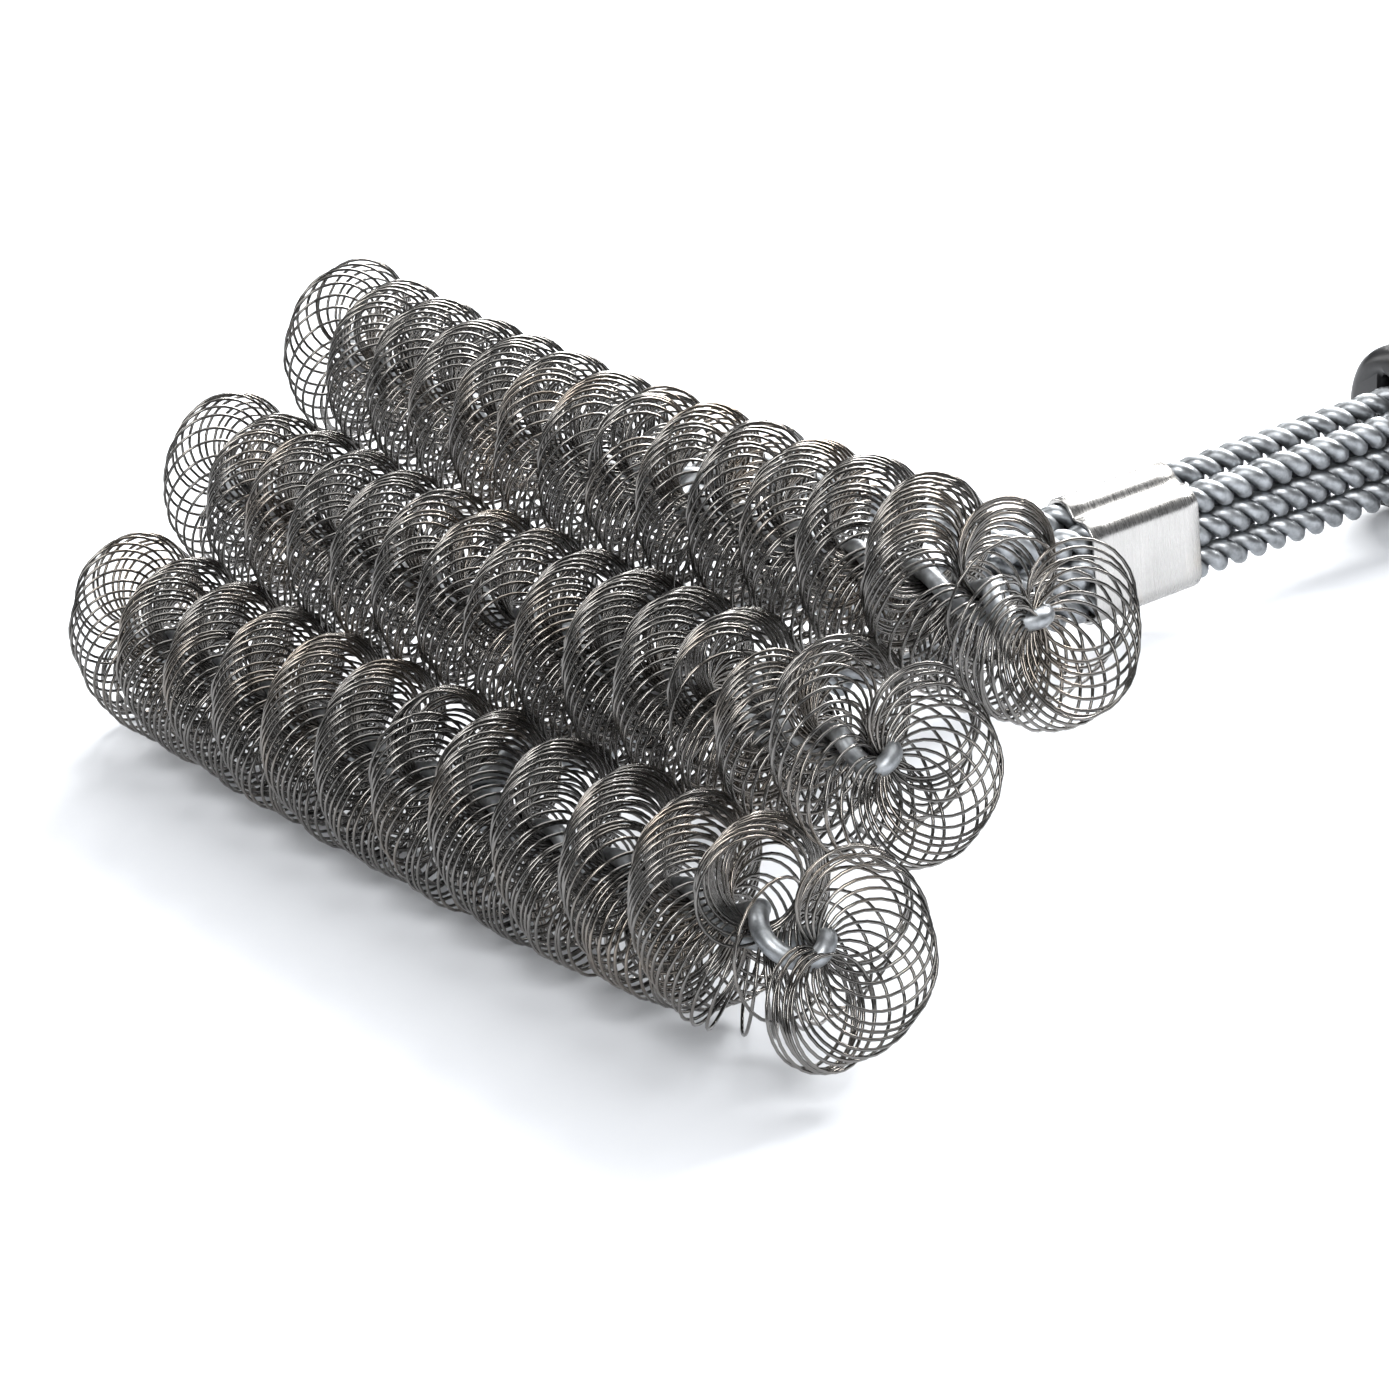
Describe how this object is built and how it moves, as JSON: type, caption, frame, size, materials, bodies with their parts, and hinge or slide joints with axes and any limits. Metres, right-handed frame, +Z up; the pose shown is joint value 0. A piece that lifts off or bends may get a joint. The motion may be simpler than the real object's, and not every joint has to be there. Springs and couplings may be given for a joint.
{
  "type": "grill cleaning brush",
  "caption": "Bristle-free grill brush: parallel rolls of wound coil spring on twisted wire cores, gathered in a steel sleeve and held by a moulded black handle.",
  "frame": {"origin": "on the plane the brush lies on, under the middle of its overall box", "axes": "+Z up from the surface it lies on, +Y along the stem from the head to the handle, +X along the rolls to the right half"},
  "size_m": [0.1958, 0.4388, 0.0608],
  "materials": {
    "galvanised_wire": "satin zinc",
    "coil_steel": "bright drawn spring wire",
    "sleeve_steel": "rolled, lightly scratched",
    "handle_plastic": "satin moulded"
  },
  "bodies": {
    "root": {"front_left_twisted_wire": "galvanised_wire", "front_left_coil_spring": "coil_steel", "middle_left_twisted_wire": "galvanised_wire", "middle_left_coil_spring": "coil_steel", "rear_left_twisted_wire": "galvanised_wire", "rear_left_coil_spring": "coil_steel", "front_right_twisted_wire": "galvanised_wire", "front_right_coil_spring": "coil_steel", "middle_right_twisted_wire": "galvanised_wire", "middle_right_coil_spring": "coil_steel", "rear_right_twisted_wire": "galvanised_wire", "rear_right_coil_spring": "coil_steel", "stem_sleeve": "sleeve_steel", "handle_collar": "handle_plastic", "handle_grip": "handle_plastic", "handle_end_cap": "handle_plastic"}
  },
  "joints": []
}
